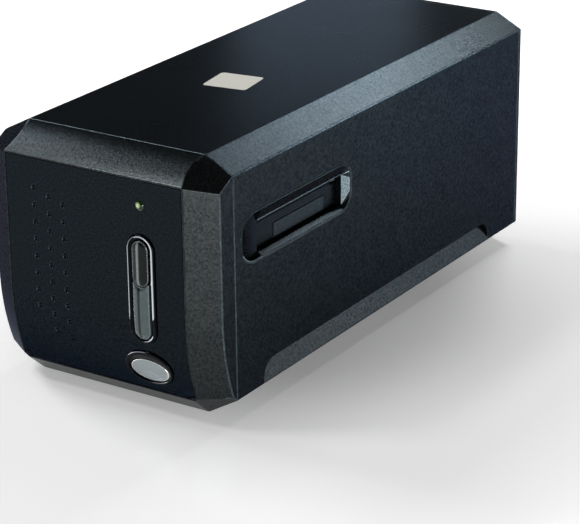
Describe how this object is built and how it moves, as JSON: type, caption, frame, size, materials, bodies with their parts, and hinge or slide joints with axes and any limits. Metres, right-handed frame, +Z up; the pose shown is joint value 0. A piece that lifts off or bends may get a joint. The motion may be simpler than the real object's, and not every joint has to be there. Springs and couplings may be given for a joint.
{
  "type": "film scanner",
  "caption": "Desktop film scanner: slanted-edge casing, curved front with scan and power buttons, film slot with dust doors, and a screw-driven optical carriage.",
  "frame": {"origin": "on the table under the middle of the body, at the bottom centre of the whole box", "axes": "+Z up, the front panel faces -Y, +X is to the right of someone facing the front from behind the origin; the film slot opens at both sides along X"},
  "size_m": [0.12, 0.274, 0.1191],
  "materials": {
    "casing_plastic": "satin, fine texture",
    "panel_plastic": "satin",
    "trim_plastic": "fine texture",
    "gloss_black": "polished",
    "button_dark": "polished, metallic",
    "button_grey": "satin, metallic",
    "power_silver": "satin",
    "indicator_green": "clear, lit",
    "label_white": "paper",
    "rubber": "matt",
    "zinc_steel": "zinc plated",
    "spring_steel": "drawn wire",
    "ground_steel": "ground",
    "chassis_plastic": "glass filled",
    "carriage_plastic": "glass filled",
    "bronze": "sintered",
    "brass": "machined",
    "mirror": "front silvered",
    "lens_glass": "coated",
    "lens_black": "matt black",
    "sheet_steel": "plated sheet",
    "diffuser": "opal",
    "board_green": "solder mask",
    "board_white": "white solder mask",
    "component_black": "moulded",
    "sensor_ceramic": "ceramic",
    "switch_white": "moulded",
    "gear_plastic": "acetal",
    "motor_case": "pressed"
  },
  "bodies": {
    "enclosure": {"lower_housing": "casing_plastic", "top_cover": "casing_plastic", "front_bezel": "casing_plastic", "front_panel": "panel_plastic", "rear_panel": "casing_plastic", "slot_trim_right": "trim_plastic", "slot_trim_left": "trim_plastic", "door_pins": "ground_steel", "scan_button_ring": "gloss_black", "power_button_ring": "gloss_black", "light_pipe": "indicator_green", "status_led": "indicator_green", "top_label": "label_white", "rubber_feet": "rubber", "cover_screws": "zinc_steel", "case_screws": "zinc_steel", "small_screws": "zinc_steel", "button_board": "board_green", "button_board_screws": "zinc_steel", "switch_bodies": "component_black", "chassis": "chassis_plastic", "film_gate": "trim_plastic", "film_detent": "spring_steel", "guide_rods": "ground_steel", "screw_bearings": "bronze", "stepper_motor": "motor_case", "motor_bracket": "sheet_steel", "motor_screws": "zinc_steel", "home_sensor": "component_black", "main_board": "board_green", "board_parts": "component_black"},
    "right_door": {"dust_door_right": "trim_plastic", "door_spring_right": "spring_steel"},
    "left_door": {"dust_door_left": "trim_plastic", "door_spring_left": "spring_steel"},
    "upper_button": {"upper_scan_button": "button_dark", "upper_switch_plunger": "switch_white"},
    "lower_button": {"lower_scan_button": "button_grey", "lower_switch_plunger": "switch_white"},
    "power_key": {"power_button": "power_silver", "power_switch_plunger": "switch_white"},
    "carriage": {"carriage_frame": "carriage_plastic", "carriage_lid": "carriage_plastic", "rod_bushes": "bronze", "lead_nut": "brass", "scan_mirror": "mirror", "mirror_wedge": "carriage_plastic", "lens_barrel": "lens_black", "lens_glass": "lens_glass", "lens_clamp": "lens_black", "sensor_board": "board_green", "line_sensor": "sensor_ceramic", "lamp_arm": "sheet_steel", "lamp_housing": "carriage_plastic", "lamp_board": "board_white", "lamp_diffuser": "diffuser"},
    "drive_screw": {"lead_screw": "ground_steel", "drive_gear": "gear_plastic"},
    "pinion": {"motor_pinion": "brass"}
  },
  "joints": [
    {"name": "right_door_hinge", "type": "hinge", "parent": "enclosure", "child": "right_door", "pos_m": [0.0543, -0.06335, 0.0839], "axis": [0, 1, 0], "range_deg": [0, 85], "stiffness_Nm_per_rad": 0.0015, "springref_deg": -17.19},
    {"name": "left_door_hinge", "type": "hinge", "parent": "enclosure", "child": "left_door", "pos_m": [-0.0543, -0.06335, 0.0839], "axis": [0, 1, 0], "range_deg": [0, 85], "stiffness_Nm_per_rad": 0.0015, "springref_deg": -17.19},
    {"name": "upper_button_press", "type": "slide", "parent": "enclosure", "child": "upper_button", "axis": [0, 1, 0], "range_m": [0, 0.001], "stiffness_N_per_m": 200, "springref_m": -0.004},
    {"name": "lower_button_press", "type": "slide", "parent": "enclosure", "child": "lower_button", "axis": [0, 1, 0], "range_m": [0, 0.001], "stiffness_N_per_m": 200, "springref_m": -0.004},
    {"name": "power_button_press", "type": "slide", "parent": "enclosure", "child": "power_key", "axis": [0, 1, 0], "range_m": [0, 0.001], "stiffness_N_per_m": 200, "springref_m": -0.004},
    {"name": "carriage_slide", "type": "slide", "parent": "enclosure", "child": "carriage", "axis": [0, -1, 0], "range_m": [0, 0.026]},
    {"name": "screw_spin", "type": "hinge", "parent": "enclosure", "child": "drive_screw", "pos_m": [0, 0, 0.033], "axis": [0, 1, 0], "range_deg": [0, 2341]},
    {"name": "pinion_spin", "type": "hinge", "parent": "enclosure", "child": "pinion", "pos_m": [0, 0.085, 0.0462], "axis": [0, 1, 0], "range_deg": [-6242, 0]}
  ],
  "couplings": [
    {"joint": "screw_spin", "follows": "carriage_slide", "rad_per_m": 1570.8},
    {"joint": "pinion_spin", "follows": "carriage_slide", "rad_per_m": -4188.8}
  ]
}
